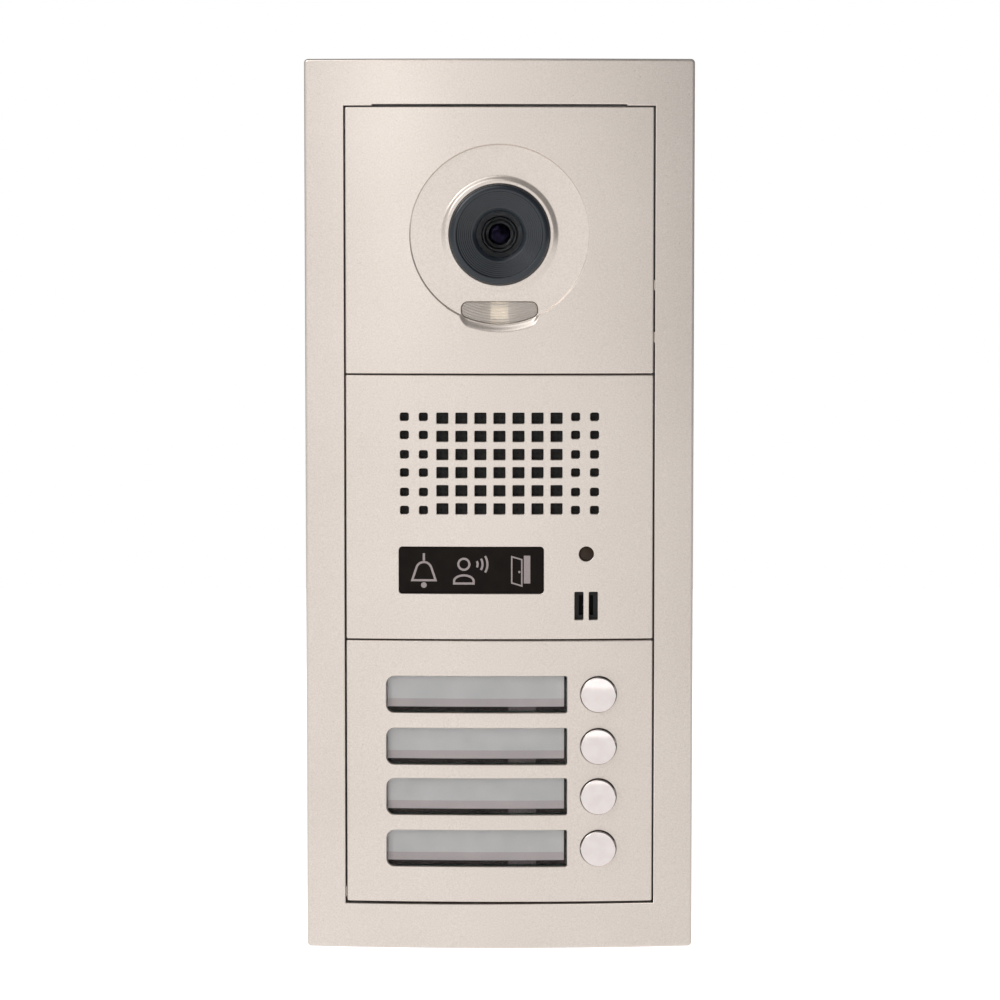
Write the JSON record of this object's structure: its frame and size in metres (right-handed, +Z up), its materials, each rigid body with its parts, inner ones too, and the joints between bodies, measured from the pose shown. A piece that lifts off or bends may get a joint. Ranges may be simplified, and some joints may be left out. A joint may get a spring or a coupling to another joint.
{
  "type": "door intercom panel",
  "caption": "Flush-mounted door intercom panel: a tall bulged front frame holding a camera module, an audio module and a module of call buttons with name windows.",
  "frame": {"origin": "centre of the back box's four wall screws, on the wall's face", "axes": "+Z up, +X to the right as seen from the front, +Y into the wall"},
  "size_m": [0.135, 0.0673, 0.31],
  "materials": {
    "champagne_paint": "fine metallic satin paint",
    "box_plastic": "moulded, fine texture",
    "black_rubber": "matt",
    "gasket_foam": "closed-cell foam",
    "carrier_zinc": "die-cast, tumbled",
    "screw_steel": "zinc-plated",
    "housing_plastic": "moulded, fine texture",
    "bezel_plastic": "satin, stepped",
    "cover_glass": "polished",
    "lens_glass": "coated",
    "bracket_steel": "pressed sheet",
    "yoke_plastic": "moulded",
    "barrel_black": "anti-glare",
    "circuit_board": "solder resist",
    "lamp_board_white": "white solder resist",
    "lamp_plastic": "clear, ribbed",
    "led_plastic": "moulded",
    "mesh_fabric": "fine woven mesh",
    "speaker_steel": "pressed sheet",
    "speaker_paper": "pressed paper",
    "magnet_steel": "nickel-plated",
    "status_acrylic": "smoked, polished",
    "smoked_plastic": "smoked, polished",
    "capsule_aluminium": "drawn can",
    "terminal_plastic": "moulded",
    "trimmer_plastic": "moulded",
    "rotor_plastic": "moulded",
    "clear_acrylic": "clear, polished",
    "name_card": "matt card",
    "guide_acrylic": "clear, polished",
    "switch_plastic": "moulded",
    "guide_plastic": "moulded",
    "button_chrome": "polished plating",
    "spring_steel": "drawn wire",
    "ribbon_plastic": "flat cable"
  },
  "bodies": {
    "root": {"back_box": "box_plastic", "cable_grommet": "black_rubber", "wall_gasket": "gasket_foam", "carrier_frame": "carrier_zinc", "carrier_screws": "screw_steel", "front_frame": "champagne_paint", "frame_screws": "screw_steel", "housing_screws": "screw_steel", "link_cables": "ribbon_plastic", "camera_face": "champagne_paint", "camera_housing": "housing_plastic", "lens_bezel": "bezel_plastic", "lens_cover": "cover_glass", "cover_seal": "black_rubber", "camera_bracket": "bracket_steel", "lamp_window": "lamp_plastic", "lamp_led": "led_plastic", "lamp_board": "lamp_board_white", "camera_board": "circuit_board", "audio_face": "champagne_paint", "audio_housing": "housing_plastic", "dust_mesh": "mesh_fabric", "speaker_gasket": "gasket_foam", "speaker_frame": "speaker_steel", "speaker_cone": "speaker_paper", "speaker_magnet": "magnet_steel", "status_window": "status_acrylic", "status_leds": "led_plastic", "in_use_lens": "smoked_plastic", "audio_board": "circuit_board", "mic_boot": "black_rubber", "mic_capsule": "capsule_aluminium", "terminal_block": "terminal_plastic", "terminal_screws": "screw_steel", "trimmer_bodies": "trimmer_plastic", "call_face": "champagne_paint", "call_housing": "housing_plastic", "name_windows": "clear_acrylic", "name_cards": "name_card", "card_light_guide": "guide_acrylic", "call_board": "circuit_board", "call_switches": "switch_plastic", "button_guide": "guide_plastic", "button_spring_1": "spring_steel", "button_spring_2": "spring_steel", "button_spring_3": "spring_steel", "button_spring_4": "spring_steel"},
    "camera_yoke": {"pan_yoke": "yoke_plastic", "pan_pins": "screw_steel"},
    "camera_cradle": {"tilt_cradle": "yoke_plastic", "tilt_pins": "screw_steel", "lens_barrel": "barrel_black", "front_lens": "lens_glass", "sensor_board": "circuit_board"},
    "volume_trimmer": {"volume_rotor": "rotor_plastic"},
    "mic_trimmer": {"mic_rotor": "rotor_plastic"},
    "button_1": {"call_button_1": "button_chrome"},
    "button_2": {"call_button_2": "button_chrome"},
    "button_3": {"call_button_3": "button_chrome"},
    "button_4": {"call_button_4": "button_chrome"}
  },
  "joints": [
    {"name": "camera_pan", "type": "hinge", "parent": "root", "child": "camera_yoke", "pos_m": [0, -0.005, 0.0946], "axis": [0, 0, 1], "range_deg": [-10, 10]},
    {"name": "camera_tilt", "type": "hinge", "parent": "camera_yoke", "child": "camera_cradle", "pos_m": [0, -0.005, 0.0946], "axis": [1, 0, 0], "range_deg": [-10, 10]},
    {"name": "volume_turn", "type": "hinge", "parent": "root", "child": "volume_trimmer", "pos_m": [-0.022, 0.0144, 0.02], "axis": [0, 1, 0], "range_deg": [-135, 135]},
    {"name": "mic_turn", "type": "hinge", "parent": "root", "child": "mic_trimmer", "pos_m": [0.022, 0.0144, 0.02], "axis": [0, 1, 0], "range_deg": [-135, 135]},
    {"name": "button_1_press", "type": "slide", "parent": "root", "child": "button_1", "axis": [0, 1, 0], "range_m": [0, 0.001], "stiffness_N_per_m": 400, "springref_m": -0.002, "deforming": ["button_spring_1"]},
    {"name": "button_2_press", "type": "slide", "parent": "root", "child": "button_2", "axis": [0, 1, 0], "range_m": [0, 0.001], "stiffness_N_per_m": 400, "springref_m": -0.002, "deforming": ["button_spring_2"]},
    {"name": "button_3_press", "type": "slide", "parent": "root", "child": "button_3", "axis": [0, 1, 0], "range_m": [0, 0.001], "stiffness_N_per_m": 400, "springref_m": -0.002, "deforming": ["button_spring_3"]},
    {"name": "button_4_press", "type": "slide", "parent": "root", "child": "button_4", "axis": [0, 1, 0], "range_m": [0, 0.001], "stiffness_N_per_m": 400, "springref_m": -0.002, "deforming": ["button_spring_4"]}
  ]
}
